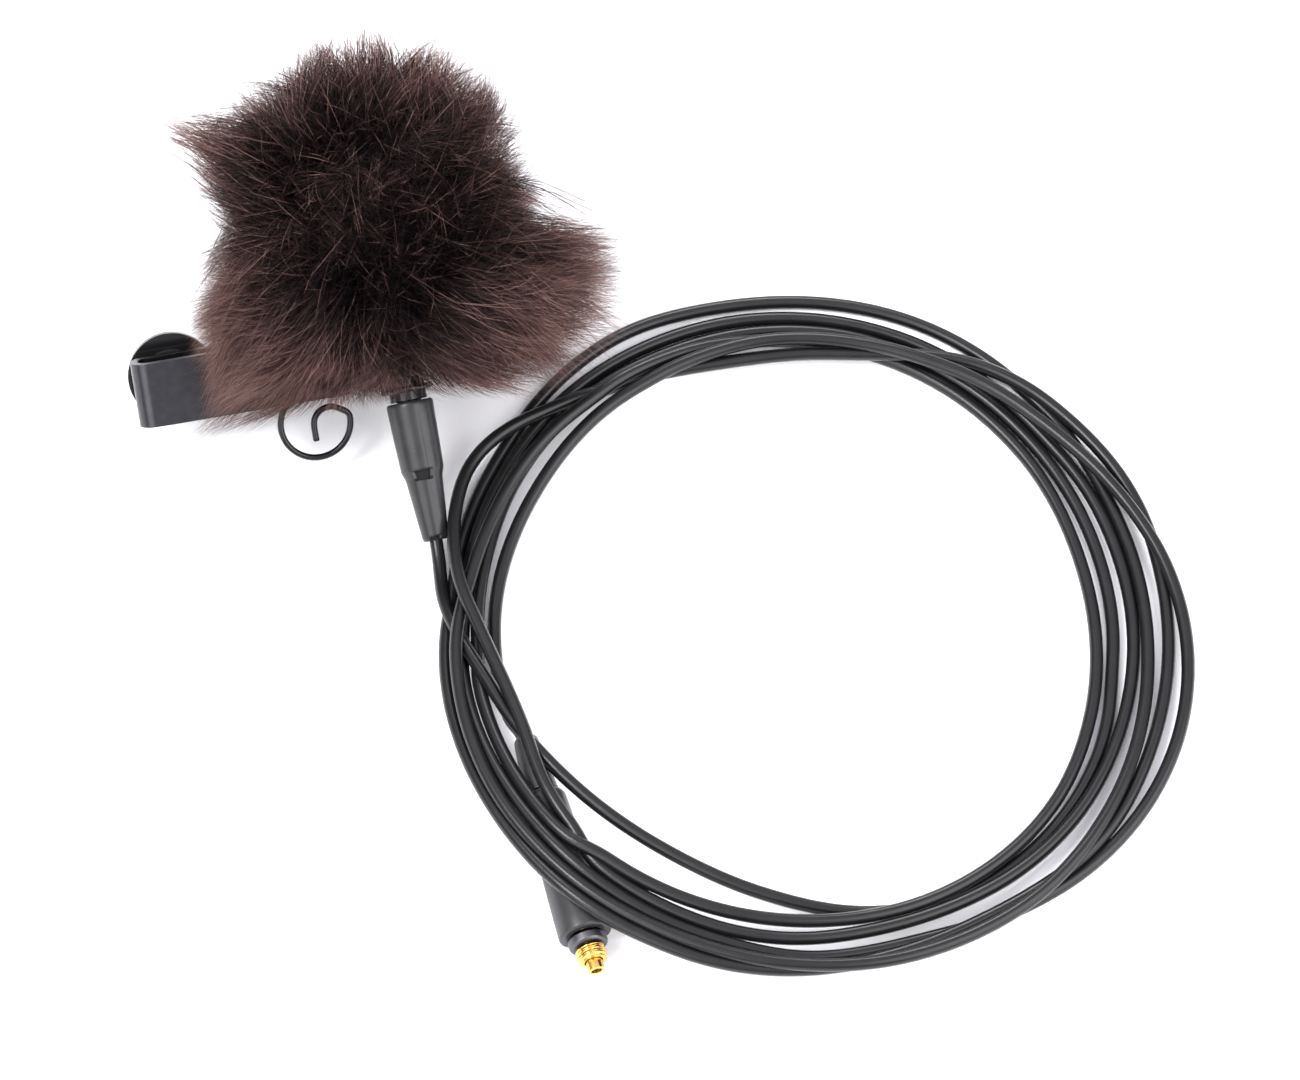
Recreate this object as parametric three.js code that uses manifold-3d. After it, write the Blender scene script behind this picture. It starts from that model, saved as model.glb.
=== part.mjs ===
// A lavalier microphone: a slim capsule head in a furry windshield, a tie clip with a bent wire
// holder, a strain relief boot, and a thin cable wound in a loose coil that ends in a screw plug.
// Millimetres, +Z up. The origin is the centre of the small flat on which the windshield rests.

import * as THREE from 'three';
import { mergeVertices } from 'three/addons/utils/BufferGeometryUtils.js';
import Module from 'manifold-3d';

const wasm = await Module();
wasm.setup();

// ---------------------------------------------------------------- driving dimensions

const GAP = 0.1; // between fixed neighbours
const CORD_GAP = 0.3; // between the cord's solids and what they meet
const RUN_GAP = 0.15; // between pieces that move on each other

const MIC_PITCH = 27; // degrees that the microphone's axis rises towards its head
const MIC_HEADING = 12.4; // degrees that it leans left of +Y
const MIC_RIM = new THREE.Vector3(3.36, -15.5, 8.12); // centre of the boot's upper rim

const MIC_RADIUS = 2.25;
const MIC_WALL = 0.4;
const NECK_RADIUS = 1.75;
const NECK_TOP = 2.3;
const TUBE_TOP = 13;
const HEAD_TOP = 15.4;
const BOOT_LENGTH = 13.26;

const FUR_RADIUS = 16.5;
const FUR_CENTRE = 17.8; // along the microphone's axis from the boot's rim
const FUR_MOUTH = 5.0;
const MOUTH_RADIUS = 4.3;
const FOAM_RADIUS = 8.5;
const FOAM_CENTRE = 18.3;
const HEM_TUBE = 0.7;

const CLIP_PLACE = new THREE.Vector3(-19.5, -14.17, 7.5); // centre of the front jaw's outer face
const CLIP_TILT = 43; // degrees that the clip's face leans back from level
const CLIP_HEADING = 11;
const PLATE_WIDTH = 6.2;
const PLATE_THICKNESS = 0.7;
const LEAF_DROP = 2.4; // from the outer leaf down to the folded inner leaf
const CLIP_TAIL = 17;
const PIN_PLACE = { x: 10.5, z: -2.4 };
const PIN_RADIUS = 0.45;
const DISC_RADIUS = 4.15;
const DISC_PLACE = { x: 0.85, y: 0.6 };
const ARM_TOP = -3.6;
const ARM_THICKNESS = 0.8;

const WIRE_RADIUS = 0.33;
const LOOP_RADIUS = 2.2;
const LOOP_HEIGHT = 1.2; // along the microphone's axis from the boot's rim
const WIRE_HEIGHT = 1.25; // of the holder wire above the clip's face

const CABLE_RADIUS = 0.64;
const COIL_CENTRE = { x: 41.3, y: -36.5 };
const COIL_INNER = 25.0;
const COIL_OUTER = 38.3;
const COIL_HEIGHT = 3.6;
const HUMP_RISE = 0.85; // share by which the coil stands higher where it crosses the plug
const HUMP_AT = 221; // degrees round the coil
const HUMP_HALF = 42;

const PLUG_HEADING = 15.8; // degrees right of -Y
const PLUG_REAR = new THREE.Vector3(16.03, -53.84, 2.55); // centre of the plug body's rear face
const PLUG_LENGTH = 15;
const PLUG_RADIUS = 2.5;
const PLUG_BOOT_LENGTH = 6;

// ---------------------------------------------------------------- materials

function plastic(color, roughness) {
  return new THREE.MeshStandardMaterial({ color, roughness, metalness: 0 });
}

function metal(color, roughness) {
  return new THREE.MeshStandardMaterial({ color, roughness, metalness: 1 });
}

const rubberBlack = plastic(0x2b2c30, 0.55);
const cableBlack = plastic(0x1d1d20, 0.42);
const clipBlack = metal(0x3a3a3e, 0.38);
const glossBlack = plastic(0x0c0c0e, 0.18);
const wireBlack = metal(0x101012, 0.25);
const furBrown = plastic(0x3a2723, 0.95);
const foamBlack = plastic(0x151516, 1.0);
const gold = metal(0xd9a441, 0.24);
const steel = metal(0xb9bcc0, 0.3);
const boardGreen = plastic(0x1f5a3a, 0.5);
const insulatorWhite = plastic(0xe8e2d0, 0.5);
const signalRed = plastic(0xa3252a, 0.5);

// ---------------------------------------------------------------- helpers

const { degToRad } = THREE.MathUtils;

function toSolid(geometry) {
  const bare = geometry.clone();
  for (const name of Object.keys(bare.attributes)) {
    if (name !== 'position') bare.deleteAttribute(name);
  }
  const merged = mergeVertices(bare, 1e-4);
  const vertProperties = new Float32Array(merged.attributes.position.array);
  const triVerts = new Uint32Array(merged.index.array);
  return new wasm.Manifold(new wasm.Mesh({ numProp: 3, vertProperties, triVerts }));
}

function toGeometry(solid) {
  const mesh = solid.getMesh();
  const geometry = new THREE.BufferGeometry();
  geometry.setAttribute('position', new THREE.BufferAttribute(mesh.vertProperties, 3));
  geometry.setIndex(new THREE.BufferAttribute(mesh.triVerts, 1));
  geometry.computeVertexNormals();
  return geometry;
}

function cut(base, ...tools) {
  return toGeometry(tools.reduce((left, tool) => left.subtract(toSolid(tool)), toSolid(base)));
}

function join(base, ...others) {
  return toGeometry(others.reduce((whole, other) => whole.add(toSolid(other)), toSolid(base)));
}

// A profile of [radius, height] points turned about Z. It runs up the outside.
function turned(profile, segments = 32) {
  const points = profile.map(([radius, height]) => new THREE.Vector2(radius, height));
  return new THREE.LatheGeometry(points, segments).rotateX(Math.PI / 2);
}

// A turned wall between an outside profile, bottom to top, and a straight bore.
function sleeve(outside, bore, segments = 32) {
  const bottom = outside[0][1];
  const top = outside[outside.length - 1][1];
  return turned([[bore, bottom], ...outside, [bore, top], [bore, bottom]], segments);
}

function rod(radius, bottom, top, segments = 24) {
  return turned([[0, bottom], [radius, bottom], [radius, top], [0, top]], segments);
}

function block(width, depth, height, x, y, z) {
  return new THREE.BoxGeometry(width, depth, height).translate(x, y, z);
}

// A rod along Y in the clip's frame, centred on y = 0.
function crossRod(radius, length, x, z, segments = 24) {
  return rod(radius, -length / 2, length / 2, segments).rotateX(Math.PI / 2).translate(x, 0, z);
}

function tubeAlong(curve, radius, steps, sides = 8) {
  const section = new THREE.Shape();
  for (let side = 0; side < sides; side += 1) {
    const angle = (2 * Math.PI * side) / sides;
    const place = [radius * Math.cos(angle), radius * Math.sin(angle)];
    if (side === 0) section.moveTo(...place);
    else section.lineTo(...place);
  }
  section.closePath();
  return new THREE.ExtrudeGeometry(section, { steps, extrudePath: curve, bevelEnabled: false });
}

function tubeThrough(points, radius, steps, sides = 8) {
  return tubeAlong(new THREE.CatmullRomCurve3(points, false, 'centripetal'), radius, steps, sides);
}

// An outline in the XZ plane drawn out along Y, centred on y = 0.
function strip(shape, width, curveSegments = 10) {
  const settings = { depth: width, bevelEnabled: false, curveSegments };
  return new THREE.ExtrudeGeometry(shape, settings).translate(0, 0, -width / 2).rotateX(Math.PI / 2);
}

function arcPoints(x, y, z, radius, from, to, count) {
  return Array.from({ length: count + 1 }, (_, step) => {
    const angle = degToRad(from + ((to - from) * step) / count);
    return new THREE.Vector3(x + radius * Math.cos(angle), y + radius * Math.sin(angle), z);
  });
}

function part(name, geometry, material) {
  const mesh = new THREE.Mesh(geometry, material);
  mesh.name = name;
  return mesh;
}

// A group whose X axis starts level; it is tipped about X and then turned about Z.
function placed(place, tip, heading) {
  const group = new THREE.Group();
  group.position.copy(place);
  group.rotation.set(degToRad(tip), 0, degToRad(heading), 'ZXY');
  group.updateMatrixWorld(true);
  return group;
}

const micFrame = placed(MIC_RIM, MIC_PITCH - 90, MIC_HEADING);
const clipFrame = placed(CLIP_PLACE, CLIP_TILT, CLIP_HEADING);
const plugFrame = placed(PLUG_REAR, 90, PLUG_HEADING);

// ---------------------------------------------------------------- microphone head

function strainReliefBoot() {
  const outside = [
    [1.1, -BOOT_LENGTH],
    [1.26, -BOOT_LENGTH + 0.35],
    [1.75, -7.3],
    [2.03, -6.5],
    [2.22, -0.4],
    [2.16, -0.1],
    [2.05, 0],
  ];
  const cableBore = CABLE_RADIUS + 0.1;
  const glandBore = 1.3;
  const bore = [
    [glandBore, 0],
    [glandBore, -5.6],
    [cableBore, -6.2],
    [cableBore, -BOOT_LENGTH],
    outside[0],
  ];
  return turned([...outside, ...bore], 40);
}

function rearGland() {
  const outside = [
    [1.15, -5.2],
    [1.15, GAP],
    [NECK_RADIUS, GAP],
    [NECK_RADIUS, NECK_TOP],
  ];
  return sleeve(outside, 0.8);
}

function micTube() {
  const floor = NECK_TOP + GAP;
  const inner = MIC_RADIUS - MIC_WALL;
  const profile = [
    [0.8, floor],
    [MIC_RADIUS, floor],
    [MIC_RADIUS, TUBE_TOP],
    [inner, TUBE_TOP],
    [inner, floor + 0.5],
    [0.8, floor + 0.5],
    [0.8, floor],
  ];
  return turned(profile, 40);
}

function grilleCap() {
  const inner = MIC_RADIUS - MIC_WALL;
  const bottom = TUBE_TOP + GAP;
  const profile = [
    [inner, bottom],
    [MIC_RADIUS, bottom],
    [MIC_RADIUS, HEAD_TOP - 0.4],
    [MIC_RADIUS - 0.4, HEAD_TOP],
    [0, HEAD_TOP],
    [0, HEAD_TOP - 0.4],
    [inner, HEAD_TOP - 0.4],
    [inner, bottom],
  ];
  const hole = rod(0.3, HEAD_TOP - 1, HEAD_TOP + 1, 12);
  const ringOfHoles = Array.from({ length: 6 }, (_, n) =>
    hole.clone().translate(1.15 * Math.cos((n * Math.PI) / 3), 1.15 * Math.sin((n * Math.PI) / 3), 0));
  return cut(turned(profile, 40), hole, ...ringOfHoles);
}

function signalLead(side) {
  const inGland = new THREE.Vector3(0.3 * side, 0, -4.6);
  const pastGland = new THREE.Vector3(0.3 * side, 0, 3.2);
  const atBoard = new THREE.Vector3(0.9 * side, 0, 4.9);
  return tubeThrough([inGland, pastGland, atBoard], 0.2, 10, 6);
}

function addMicrophone() {
  const board = block(2.9, 0.6, 4.0, 0, 0, 7.1);
  const capsule = sleeve([[1.65, 9.6], [1.65, 12.0]], 0.3);
  const gasket = sleeve([[1.75, 12.1], [1.75, 12.7]], 1.0);
  const dustMesh = rod(1.75, HEAD_TOP - 0.75, HEAD_TOP - 0.5);
  micFrame.add(
    part('strain_relief_boot', strainReliefBoot(), rubberBlack),
    part('rear_gland', rearGland(), glossBlack),
    part('mic_tube', micTube(), clipBlack),
    part('preamp_board', board, boardGreen),
    part('electret_capsule', capsule, steel),
    part('capsule_gasket', gasket, rubberBlack),
    part('grille_cap', grilleCap(), clipBlack),
    part('dust_mesh', dustMesh, steel),
    part('signal_lead_red', signalLead(1), signalRed),
    part('signal_lead_white', signalLead(-1), insulatorWhite),
  );
}

// ---------------------------------------------------------------- windshield

function ballPoints(radius, centre, from, to, count) {
  return Array.from({ length: count + 1 }, (_, step) => {
    const angle = degToRad(from + ((to - from) * step) / count);
    const across = to === 90 && step === count ? 0 : radius * Math.cos(angle);
    return [across, centre + radius * Math.sin(angle)];
  });
}

function foamBall() {
  const bore = MIC_RADIUS + 0.2;
  const start = -Math.acos(bore / FOAM_RADIUS) * THREE.MathUtils.RAD2DEG;
  const outside = ballPoints(FOAM_RADIUS, FOAM_CENTRE, start, 90, 12);
  const boreTop = HEAD_TOP + 0.5;
  return turned([...outside, [0, boreTop], [bore, boreTop], outside[0]], 32);
}

// The fur's dense body: a ball on a narrow neck, open below for the microphone and hollow for the
// foam, with a small flat where it rests.
function furCover() {
  const outside = [
    [MOUTH_RADIUS, FUR_MOUTH],
    [4.6, 8.4],
    [9, 9.7],
    ...ballPoints(FUR_RADIUS, FUR_CENTRE, -27, 90, 13),
  ];
  const cavityRadius = FOAM_RADIUS + 0.3;
  const neck = 3.0;
  const start = -Math.acos(neck / cavityRadius) * THREE.MathUtils.RAD2DEG;
  const cavity = ballPoints(cavityRadius, FOAM_CENTRE, start, 90, 10).reverse();
  const body = turned([...outside, ...cavity, [neck, FUR_MOUTH], outside[0]], 40);
  const table = block(80, 80, 20, 0, 0, -10).applyMatrix4(micFrame.matrixWorld.clone().invert());
  return cut(body, table);
}

function addWindshield() {
  const hem = new THREE.TorusGeometry(3.4, HEM_TUBE, 10, 32).translate(0, 0, FUR_MOUTH - HEM_TUBE - GAP);
  micFrame.add(
    part('fur_cover', furCover(), furBrown),
    part('foam_windscreen', foamBall(), foamBlack),
    part('elastic_hem', hem, rubberBlack),
  );
}

// ---------------------------------------------------------------- tie clip

// The outer leaf, the fold at the nose and the inner leaf, as one bent strip with two ears.
function frontJaw() {
  const half = PLATE_THICKNESS / 2;
  const foldX = -1.4;
  const foldRadius = LEAF_DROP / 2;
  const leafEnd = 8.6;
  const side = new THREE.Shape();
  side.moveTo(CLIP_TAIL, half);
  side.lineTo(foldX, half);
  side.absarc(foldX, -foldRadius, foldRadius + half, Math.PI / 2, (3 * Math.PI) / 2, false);
  side.lineTo(leafEnd, -LEAF_DROP - half);
  side.lineTo(leafEnd, -LEAF_DROP + half);
  side.lineTo(foldX, -LEAF_DROP + half);
  side.absarc(foldX, -foldRadius, foldRadius - half, (3 * Math.PI) / 2, Math.PI / 2, true);
  side.lineTo(CLIP_TAIL, -half);
  side.closePath();
  const earThickness = 0.55;
  const earY = (PLATE_WIDTH - earThickness) / 2;
  const ears = [earY, -earY].map((y) => block(2.6, earThickness, 3.4, PIN_PLACE.x, y, -1.7));
  const pinHole = crossRod(PIN_RADIUS + GAP, 8, PIN_PLACE.x, PIN_PLACE.z);
  return cut(join(strip(side, PLATE_WIDTH), ...ears), pinHole);
}

// The disc, its arm and the bent tail, with two ears that turn on the pin.
function rearJaw() {
  const middle = ARM_TOP - ARM_THICKNESS / 2;
  const disc = rod(DISC_RADIUS, ARM_TOP - ARM_THICKNESS, ARM_TOP, 48).translate(DISC_PLACE.x, DISC_PLACE.y, 0);
  const arm = block(10, 4.8, ARM_THICKNESS, 7.6, 0, middle);
  const tail = new THREE.Shape();
  tail.moveTo(12.4, ARM_TOP);
  tail.lineTo(12.4, ARM_TOP - ARM_THICKNESS);
  tail.lineTo(17.4, -6.1);
  tail.lineTo(17.6, -5.4);
  tail.closePath();
  const earThickness = 0.5;
  const earY = PLATE_WIDTH / 2 - 0.55 - RUN_GAP - earThickness / 2;
  const earHeight = 2.9;
  const earZ = ARM_TOP - ARM_THICKNESS + earHeight / 2;
  const ears = [earY, -earY].map((y) => block(2.4, earThickness, earHeight, PIN_PLACE.x, y, earZ));
  const pinHole = crossRod(PIN_RADIUS + GAP, 8, PIN_PLACE.x, PIN_PLACE.z);
  return cut(join(disc, arm, strip(tail, 4.8), ...ears), pinHole);
}

// A thin pad with cross ridges that grips the cloth.
function jawPad() {
  const bottom = ARM_TOP + GAP;
  const top = -LEAF_DROP - PLATE_THICKNESS / 2 - RUN_GAP;
  const base = rod(3.2, bottom, bottom + 0.3, 40).translate(DISC_PLACE.x, 0, 0);
  const ridges = [-2, -1, 0, 1, 2].map((n) =>
    block(0.45, 4.4, top - bottom - 0.1, DISC_PLACE.x + n * 1.1, 0, (top + bottom + 0.1) / 2));
  return join(base, ...ridges);
}

function hingePin() {
  const half = PLATE_WIDTH / 2 + GAP;
  const shaft = crossRod(PIN_RADIUS, 2 * half, PIN_PLACE.x, PIN_PLACE.z);
  const headThickness = 0.35;
  const heads = [1, -1].map((side) =>
    crossRod(0.85, headThickness, PIN_PLACE.x, PIN_PLACE.z)
      .translate(0, side * (half + headThickness / 2 - 0.01), 0));
  return join(shaft, ...heads);
}

// A close coil round the pin with one leg under the front jaw and one towards the tail.
function torsionSpring() {
  const meanRadius = 0.86;
  const turns = 4.5;
  const pitch = 0.6;
  const stepsPerTurn = 12;
  const count = turns * stepsPerTurn;
  const coil = Array.from({ length: count + 1 }, (_, step) => {
    const angle = Math.PI / 2 - (2 * Math.PI * step) / stepsPerTurn;
    const y = pitch * (step / stepsPerTurn - turns / 2);
    return new THREE.Vector3(
      PIN_PLACE.x + meanRadius * Math.cos(angle), y, PIN_PLACE.z + meanRadius * Math.sin(angle));
  });
  const upperLeg = new THREE.Vector3(PIN_PLACE.x - 3.6, coil[0].y - 0.1, -0.9);
  const lowerLeg = new THREE.Vector3(PIN_PLACE.x - 1.3, coil[count].y + 0.1, coil[count].z);
  return tubeThrough([upperLeg, ...coil, lowerLeg], 0.2, 84, 6);
}

// The holder: a loop round the microphone's neck, a run through the saddle on the clip, and a
// spiral hook for the cable.
function holderWire() {
  const toClip = clipFrame.matrixWorld.clone().invert().multiply(micFrame.matrixWorld);
  const loop = arcPoints(0, 0, LOOP_HEIGHT, LOOP_RADIUS, 70, -205, 22).map((p) => p.applyMatrix4(toClip));
  const run = [
    [20.6, -2.75, 2.2],
    [19.9, -2.5, 1.4],
    [18.4, -2.0, WIRE_HEIGHT],
    [16.6, -1.05, WIRE_HEIGHT],
    [15.0, -0.8, WIRE_HEIGHT],
    [13.4, -0.55, WIRE_HEIGHT],
    [12.0, -1.4, WIRE_HEIGHT + 0.2],
  ].map((place) => new THREE.Vector3(...place));
  const spiralHeight = WIRE_HEIGHT + 0.35;
  const spiral = arcPoints(13.3, -5.0, spiralHeight, 3.3, 137, 368, 16);
  const hook = arcPoints(14.75, -5.2, spiralHeight, 1.62, 50, 180, 8);
  const end = new THREE.Vector3(13.15, -6.7, spiralHeight);
  return tubeThrough([...loop, ...run, ...spiral, ...hook, end], WIRE_RADIUS, 100);
}

function wireSaddle() {
  const bottom = PLATE_THICKNESS / 2 + GAP;
  const height = 1.7;
  const body = block(2.2, 2.2, height, 15.0, -0.8, bottom + height / 2);
  const channel = new THREE.LineCurve3(
    new THREE.Vector3(17, -1.12, WIRE_HEIGHT), new THREE.Vector3(13, -0.48, WIRE_HEIGHT));
  return cut(body, tubeAlong(channel, WIRE_RADIUS + RUN_GAP, 1, 12));
}

function addClip() {
  clipFrame.add(
    part('clip_front_jaw', frontJaw(), clipBlack),
    part('clip_rear_jaw', rearJaw(), glossBlack),
    part('jaw_pad', jawPad(), rubberBlack),
    part('hinge_pin', hingePin(), steel),
    part('torsion_spring', torsionSpring(), steel),
    part('holder_wire', holderWire(), wireBlack),
    part('wire_saddle', wireSaddle(), clipBlack),
  );
}

// ---------------------------------------------------------------- plug

// Along the plug's axis from the body's rear face: crimp, body, collar, thread and tip.
function plugBody() {
  const outside = [
    [1.75, 0],
    [2.08, 0.5],
    [2.32, 8],
    [PLUG_RADIUS, 13.6],
    [PLUG_RADIUS, PLUG_LENGTH - 0.3],
    [PLUG_RADIUS - 0.3, PLUG_LENGTH],
  ];
  const cableBore = CABLE_RADIUS + 0.14;
  const hollow = 1.5;
  const bore = [
    [hollow, PLUG_LENGTH],
    [hollow, 1.8],
    [cableBore, 1.2],
    [cableBore, 0],
    outside[0],
  ];
  return turned([...outside, ...bore], 40);
}

function plugBoot() {
  const outside = [
    [0.95, -PLUG_BOOT_LENGTH],
    [1.15, -PLUG_BOOT_LENGTH + 0.3],
    [1.62, -GAP],
  ];
  return sleeve(outside, CABLE_RADIUS + 0.14);
}

function threadedSleeve() {
  const start = PLUG_LENGTH + 1.35;
  const pitch = 0.45;
  const crest = 1.42;
  const root = 1.2;
  const ridges = [0, 1, 2].flatMap((n) => [
    [root, start + n * pitch],
    [crest, start + (n + 0.3) * pitch],
    [crest, start + (n + 0.6) * pitch],
    [root, start + (n + 0.9) * pitch],
  ]);
  return sleeve([...ridges, [root, start + 3 * pitch]], 0.9, 24);
}

function addPlug() {
  const collar = [
    [1.85, PLUG_LENGTH + 0.25],
    [1.85, PLUG_LENGTH + 1.0],
    [1.65, PLUG_LENGTH + 1.2],
  ];
  const tip = [
    [1.35, 12.6],
    [1.35, 14.2],
    [0.8, 14.2],
    [0.8, PLUG_LENGTH + 3.7],
  ];
  plugFrame.add(
    part('plug_boot', plugBoot(), rubberBlack),
    part('plug_body', plugBody(), rubberBlack),
    part('crimp_sleeve', sleeve([[1.2, 2.4], [1.2, 6.4]], CABLE_RADIUS + 0.1), steel),
    part('plug_collar', sleeve(collar, 0.95, 36), glossBlack),
    part('threaded_sleeve', threadedSleeve(), gold),
    part('tip_barrel', sleeve(tip, 0.5), gold),
    part('tip_insulator', sleeve([[0.4, 12.6], [0.4, PLUG_LENGTH + 3.1]], 0.22, 20), insulatorWhite),
    part('centre_contact', rod(0.13, 7.4, PLUG_LENGTH + 3.4, 12), gold),
  );
}

// ---------------------------------------------------------------- cable

// The free stretch between the boot and the coil, and the one between the coil and the plug.
const LEAD_ROUTE = [
  [5.96, -27.26, 1.96],
  [6.4, -29.2, 1.15],
  [6.9, -31.7, 0.95],
];
const NOTCH_END = -32; // the coil's wall that the lead meets
const TAIL_LENGTH = 4;

function leadTube() {
  return tubeThrough(LEAD_ROUTE.map((place) => new THREE.Vector3(...place)), CABLE_RADIUS, 4);
}

function tailTube() {
  const start = -PLUG_BOOT_LENGTH - CORD_GAP;
  return rod(CABLE_RADIUS, start - TAIL_LENGTH, start, 8);
}

// The loose coil's outer shape: a low ring that stands higher over the plug, with a tunnel for the
// plug and a notch for the boot.
function coilRing() {
  const round = 1.2;
  const profile = [
    [COIL_INNER + 0.6, 0],
    [COIL_OUTER - 0.6, 0],
    [COIL_OUTER, 0.8],
    [COIL_OUTER, COIL_HEIGHT - round],
    [COIL_OUTER - round, COIL_HEIGHT],
    [COIL_INNER + round, COIL_HEIGHT],
    [COIL_INNER, COIL_HEIGHT - round],
    [COIL_INNER, 0.8],
    [COIL_INNER + 0.6, 0],
  ];
  const ring = turned(profile, 80);
  const places = ring.attributes.position;
  for (let n = 0; n < places.count; n += 1) {
    const angle = Math.atan2(places.getY(n), places.getX(n)) * THREE.MathUtils.RAD2DEG;
    const away = Math.abs(((angle - HUMP_AT + 540) % 360) - 180) / HUMP_HALF;
    const rise = away < 1 ? HUMP_RISE * Math.cos((away * Math.PI) / 2) ** 2 : 0;
    places.setZ(n, places.getZ(n) * (1 + rise));
  }
  ring.translate(COIL_CENTRE.x, COIL_CENTRE.y, 0);

  const clear = PLUG_RADIUS + 0.4;
  const rear = -PLUG_BOOT_LENGTH - CORD_GAP - TAIL_LENGTH - CORD_GAP;
  const front = PLUG_LENGTH + 8;
  const tunnelLength = front - rear;
  const vault = rod(clear, rear, front, 24);
  const below = block(2 * clear, 4, tunnelLength, 0, -2, (rear + front) / 2);
  const tunnel = join(vault, below).applyMatrix4(plugFrame.matrixWorld);
  const notch = block(8, 16, 20, 5, NOTCH_END + 8, 8);
  return cut(ring, tunnel, notch);
}

function addCable(part3d) {
  plugFrame.add(part('cable_tail', tailTube(), cableBlack));
  part3d.add(
    part('cable_lead', leadTube(), cableBlack),
    part('cable_coil', coilRing(), cableBlack),
  );
}

// ---------------------------------------------------------------- assembly

const group = new THREE.Group();
addMicrophone();
addWindshield();
addClip();
addPlug();
addCable(group);
group.add(micFrame, clipFrame, plugFrame);

export default group;
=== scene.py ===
"""Looks for the lavalier microphone: its fur, cable, clip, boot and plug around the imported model.

Places and sizes are in mm, in the model's own frame; MM turns them into Blender's metres.
"""

import math

import bpy
import numpy as np
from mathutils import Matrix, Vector


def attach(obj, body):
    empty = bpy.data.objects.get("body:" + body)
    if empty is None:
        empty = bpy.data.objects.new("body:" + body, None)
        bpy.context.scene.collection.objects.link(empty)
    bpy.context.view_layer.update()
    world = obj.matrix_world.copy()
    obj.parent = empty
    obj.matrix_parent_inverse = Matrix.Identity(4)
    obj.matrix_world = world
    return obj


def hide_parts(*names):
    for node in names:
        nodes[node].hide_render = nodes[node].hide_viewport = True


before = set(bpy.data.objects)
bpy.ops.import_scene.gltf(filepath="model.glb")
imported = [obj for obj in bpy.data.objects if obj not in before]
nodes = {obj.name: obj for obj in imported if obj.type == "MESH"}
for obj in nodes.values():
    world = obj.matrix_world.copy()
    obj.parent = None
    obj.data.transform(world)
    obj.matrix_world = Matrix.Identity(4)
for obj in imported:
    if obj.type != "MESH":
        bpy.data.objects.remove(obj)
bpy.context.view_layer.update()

MM = 0.001


# ---------------------------------------------------------------- driving places

MIC_AXIS = np.array([-0.19133, 0.87022, 0.45399])
MIC_RIM = np.array([3.36, -15.5, 8.12])  # centre of the boot's upper rim
BOOT_LENGTH = 13.26
BOOT_TIP = MIC_RIM - MIC_AXIS * BOOT_LENGTH
PLUG_AXIS = np.array([0.27228, -0.96222, 0.0])
PLUG_REAR = np.array([16.03, -53.84, 2.55])  # centre of the plug body's rear face
CLIP_PLACE = np.array([-19.5, -14.17, 7.5])  # centre of the front jaw's outer face
# The clip's own axes: along its leaf, across it, and straight out of its outer face.
CLIP_FRAME = np.array([[0.98163, 0.19081, 0.0],
                       [-0.13955, 0.71792, 0.68200],
                       [0.13013, -0.66947, 0.73135]])
# Distance along the plug and its cable from its body's rear face, and the radius there.
PLUG_OUTLINE = ((-13, 0.64), (-6.1, 0.64), (-6, 1.0), (-0.1, 1.62), (0, 1.75), (0.5, 2.08), (8, 2.32),
                (13.6, 2.5), (15, 2.4), (15.3, 1.85), (16.2, 1.7))


# ---------------------------------------------------------------- camera

VIEW_TARGET = Vector((26.0, -25.93, 0.0)) * MM
VIEW_ELEVATION = math.radians(62.5)
VIEW_WIDTH = 122.6 * MM
LENS, SENSOR = 250.0, 36.0
NEAREST, FURTHEST = 0.05, 20  # what the camera sees, in parts of its distance


def make_camera():
    data = bpy.data.cameras.new("camera")
    data.lens, data.sensor_width = LENS, SENSOR
    camera = bpy.data.objects.new("camera", data)
    bpy.context.scene.collection.objects.link(camera)
    back = Vector((0, -math.cos(VIEW_ELEVATION), math.sin(VIEW_ELEVATION)))
    distance = VIEW_WIDTH * LENS / SENSOR
    camera.location = VIEW_TARGET + back * distance
    camera.rotation_mode = "QUATERNION"
    camera.rotation_quaternion = (-back).to_track_quat("-Z", "Y")
    data.clip_start, data.clip_end = distance * NEAREST, distance * FURTHEST
    bpy.context.scene.camera = camera


make_camera()


# ---------------------------------------------------------------- materials


RUBBER_SPECULAR = 0.32


def shader_of(material):
    return material.node_tree.nodes["Principled BSDF"]


def new_material(name, colour, roughness, metallic=0.0):
    """A Principled material with its plain values on the shader's own sockets."""
    material = bpy.data.materials.new(name)
    material.use_nodes = True
    shader = shader_of(material)
    shader.inputs["Base Color"].default_value = (*colour, 1)
    shader.inputs["Roughness"].default_value = roughness
    shader.inputs["Metallic"].default_value = metallic
    return material


def add_node(material, kind, **values):
    """A node of this kind; its named inputs are set, and so are its own settings."""
    node = material.node_tree.nodes.new(kind)
    for name, value in values.items():
        if hasattr(node, name):
            setattr(node, name, value)
        else:
            node.inputs[name.replace("_", " ")].default_value = value
    return node


def link(material, start, end):
    material.node_tree.links.new(start, end)


def noise(material, scale, detail=4.0, stretch=(1, 1, 1)):
    """Noise in the object's own space, with scale in features per mm."""
    place = add_node(material, "ShaderNodeTexCoord")
    mapping = add_node(material, "ShaderNodeMapping", Scale=stretch)
    pattern = add_node(material, "ShaderNodeTexNoise", Scale=scale / MM, Detail=detail)
    link(material, place.outputs["Object"], mapping.inputs["Vector"])
    link(material, mapping.outputs["Vector"], pattern.inputs["Vector"])
    return pattern.outputs["Fac"]


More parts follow.
